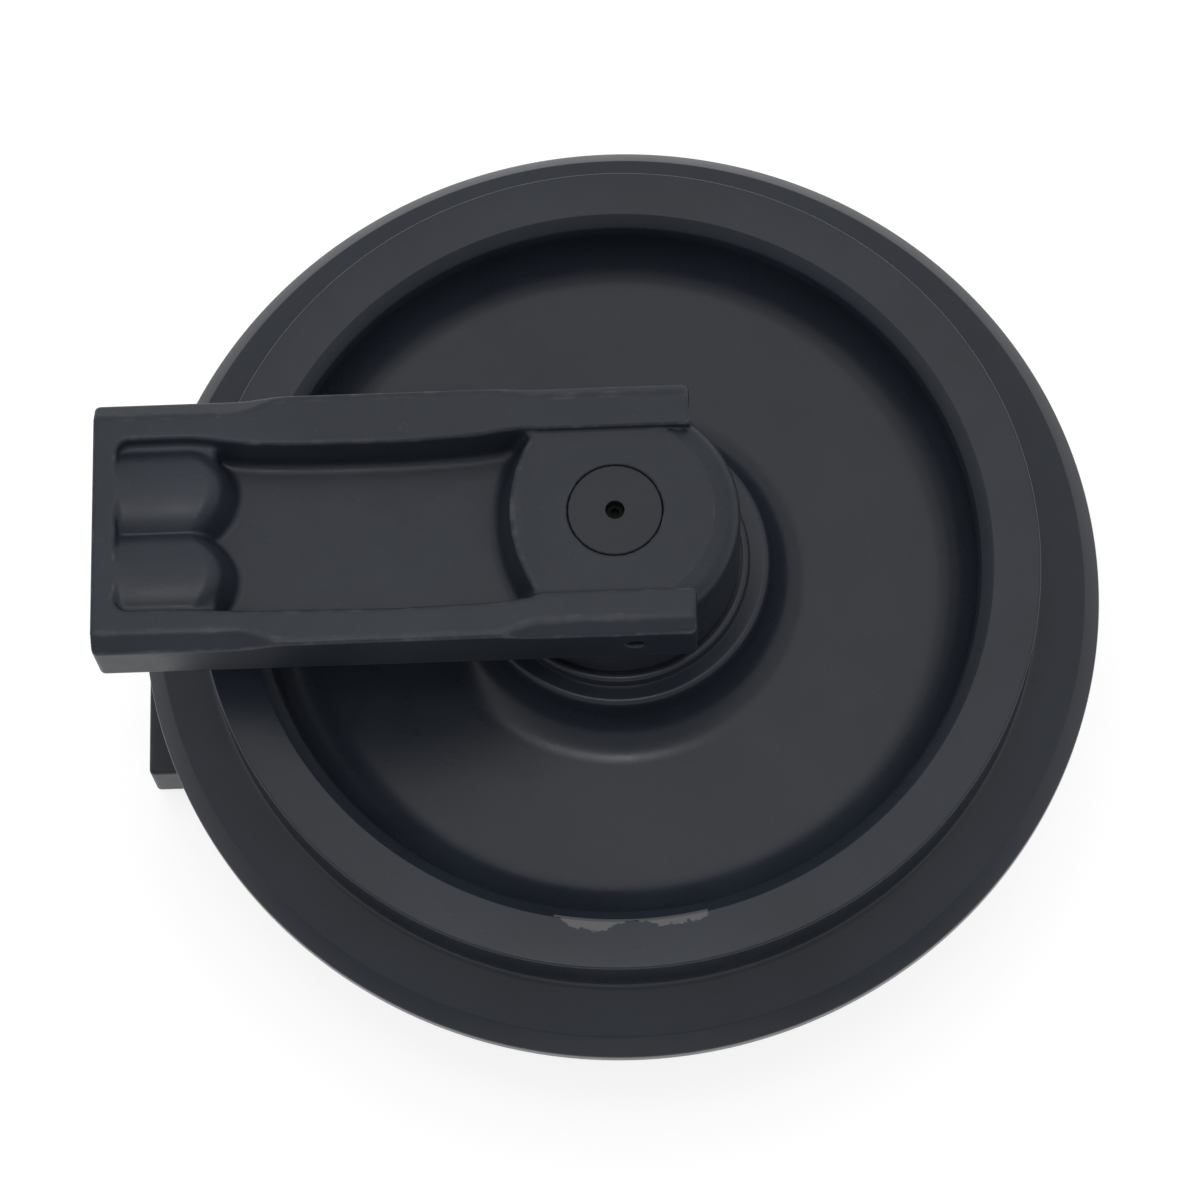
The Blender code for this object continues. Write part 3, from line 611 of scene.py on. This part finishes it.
def metal(name, colour, rough, scale):
    material, tree, shader, place = new_material(name)
    grain = noise(tree, place, scale, 3.0)
    dull = tuple(v * 0.85 for v in colour)
    tree.links.new(blended(tree, spread(tree, grain, 0.3, 0.7), dull, colour), shader.inputs["Base Color"])
    tree.links.new(spread(tree, grain, 0.3, 0.7, rough - 0.05, rough + 0.1), shader.inputs["Roughness"])
    tree.links.new(bumped(tree, grain, 0.00002), shader.inputs["Normal"])
    shader.inputs["Metallic"].default_value = 1.0
    return material


def rubber(name):
    material, tree, shader, place = new_material(name)
    grain = noise(tree, place, 900.0, 2.0)
    colour = blended(tree, spread(tree, grain, 0.3, 0.7), (0.014, 0.014, 0.015), (0.026, 0.026, 0.027))
    tree.links.new(colour, shader.inputs["Base Color"])
    tree.links.new(spread(tree, grain, 0.3, 0.7, 0.55, 0.75), shader.inputs["Roughness"])
    tree.links.new(bumped(tree, grain, 0.00002), shader.inputs["Normal"])
    return material


def point_at(thing, target):
    direction = Vector(target) - thing.location
    thing.rotation_euler = direction.to_track_quat("-Z", "Y").to_euler()


def lamp(name, kind, place, power, target=(0.0, 0.0, 0.0)):
    """A lamp aimed at a target, both about the wheel's centre."""
    data = bpy.data.lights.new(name, kind)
    data.energy = power
    thing = bpy.data.objects.new(name, data)
    thing.location = SPIN + Vector(place)
    bpy.context.scene.collection.objects.link(thing)
    point_at(thing, SPIN + Vector(target))
    return data


def floor():
    """A plain floor that looks white, and sends little light back up onto the idler."""
    material, tree, shader, _ = new_material("floor_white")
    tree.nodes.remove(shader)
    path = add(tree, "ShaderNodeLightPath").outputs
    seen = maths(tree, "MAXIMUM", path["Is Camera Ray"], path["Is Glossy Ray"])
    seen = maths(tree, "MAXIMUM", seen, path["Is Transmission Ray"])
    shade, dim = (
        add(tree, "ShaderNodeBsdfDiffuse", {"Color": (grey, grey, grey, 1.0)}).outputs[0]
        for grey in (FLOOR_GREY, FLOOR_DIM)
    )
    glowing = {"Color": (1.0, 1.0, 1.0, 1.0), "Strength": FLOOR_GLOW}
    glow = add(tree, "ShaderNodeEmission", glowing).outputs[0]
    pale = add(tree, "ShaderNodeAddShader", {0: shade, 1: glow}).outputs[0]
    both = add(tree, "ShaderNodeMixShader", {0: seen, 1: dim, 2: pale}).outputs[0]
    tree.links.new(both, tree.nodes["Material Output"].inputs["Surface"])
    mesh = bpy.data.meshes.new("floor")
    corners = [(x * FLOOR_REACH, y * FLOOR_REACH, 0) for x, y in ((-1, -1), (1, -1), (1, 1), (-1, 1))]
    mesh.from_pydata(corners, [], [(0, 1, 2, 3)])
    mesh.materials.append(material)
    plane = bpy.data.objects.new("floor", mesh)
    bpy.context.scene.collection.objects.link(plane)


def camera():
    """The camera of the photograph: above the idler, tilted and rolled a little."""
    azimuth, elevation, roll = (math.radians(v) for v in CAMERA_TURN)
    level = math.cos(elevation)
    back = Vector((math.sin(azimuth) * level, -math.cos(azimuth) * level, math.sin(elevation)))
    right = (-back).cross(Vector((0, 0, 1))).normalized()
    up = right.cross(-back)
    turned_right = math.cos(roll) * right + math.sin(roll) * up
    turned_up = -math.sin(roll) * right + math.cos(roll) * up
    data = bpy.data.cameras.new("camera")
    data.lens = CAMERA_LENS
    data.sensor_width = CAMERA_SENSOR
    eye = bpy.data.objects.new("camera", data)
    axes = Matrix((turned_right, turned_up, back)).transposed().to_4x4()
    eye.matrix_world = Matrix.Translation(SPIN + Vector(CAMERA_PLACE)) @ axes
    bpy.context.scene.collection.objects.link(eye)
    bpy.context.scene.camera = eye


def light():
    """An even pale sky, dimmer in a band in front and bright again near the horizon there, with a
    soft light overhead and two spot lamps."""
    world = bpy.data.worlds.new("studio")
    bpy.context.scene.world = world
    world.use_nodes = True
    tree = world.node_tree
    way = add(tree, "ShaderNodeTexCoord").outputs["Generated"]
    along = add(tree, "ShaderNodeSeparateXYZ", {0: way}).outputs["Y"]
    high = spread(tree, along, *SKY_RANGE, SKY_BAND, SKY)
    low = spread(tree, along, *SKY_LOW_RANGE, SKY_BAND, SKY_LOW)
    tree.links.new(maths(tree, "MAXIMUM", high, low), tree.nodes["Background"].inputs["Strength"])
    tree.nodes["Background"].inputs["Color"].default_value = (1.0, 1.0, 1.0, 1.0)
    place, power, size = OVERHEAD
    overhead = lamp("overhead", "AREA", place, power)
    overhead.shape = "DISK"
    overhead.size = size
    for name, place, target, power, softness, cone in SPOTS:
        spot = lamp(name, "SPOT", place, power, target)
        spot.shadow_soft_size = softness
        spot.spot_size = math.radians(cone)
        spot.spot_blend = SPOT_BLEND


light()
camera()
floor()

wheel_paint, *wheel_nodes = paint("wheel_paint", TONE, rough=0.28, cast=0.00002, grit=0.0, edge=False)
chipped(*wheel_nodes)
bracket_paint = paint("bracket_paint", TONE, rough=0.40, cast=0.00016, grit=0.00006, edge=True)[0]
shaft_paint = paint("shaft_paint", DIM_TONE, rough=0.36, cast=0.00004, grit=0.0, edge=False)[0]

wheel = wheel_casting()
new_object("wheel_casting", placed(wheel, 1), "wheel", wheel_paint, ["idler_wheel"])
casting = bracket_casting()
for end, side in (("upper", 1), ("lower", -1)):
    new_object(end + "_bracket_casting", placed(casting, side), "carrier", bracket_paint,
               [end + "_bracket"])

# The near-black metal on the oil plug, its washer and the lock pins is painted shade, which darkens the oil
# port and the pin holes.
finishes = {
    "shaft": shaft_paint,
    "oil_plug": metal("plug_painted_shade", (0.012, 0.012, 0.013), 0.6, 400.0),
    "plug_washer": metal("washer_painted_shade", (0.016, 0.016, 0.018), 0.6, 400.0),
    "lock_pin": metal("pin_painted_shade", (0.014, 0.014, 0.016), 0.6, 400.0),
    "bushing": metal("bushing_bronze", (0.62, 0.42, 0.22), 0.35, 300.0),
    "seal_ring": metal("seal_steel", (0.56, 0.56, 0.57), 0.22, 500.0),
    "toric": rubber("toric_rubber"),
    "o_ring": rubber("o_ring_rubber"),
}
for name, node in frame["nodes"].items():
    for kind, finish in finishes.items():
        if name.endswith(kind):
            node.data.materials.clear()
            node.data.materials.append(finish)

bpy.context.scene.view_settings.view_transform = "Standard"
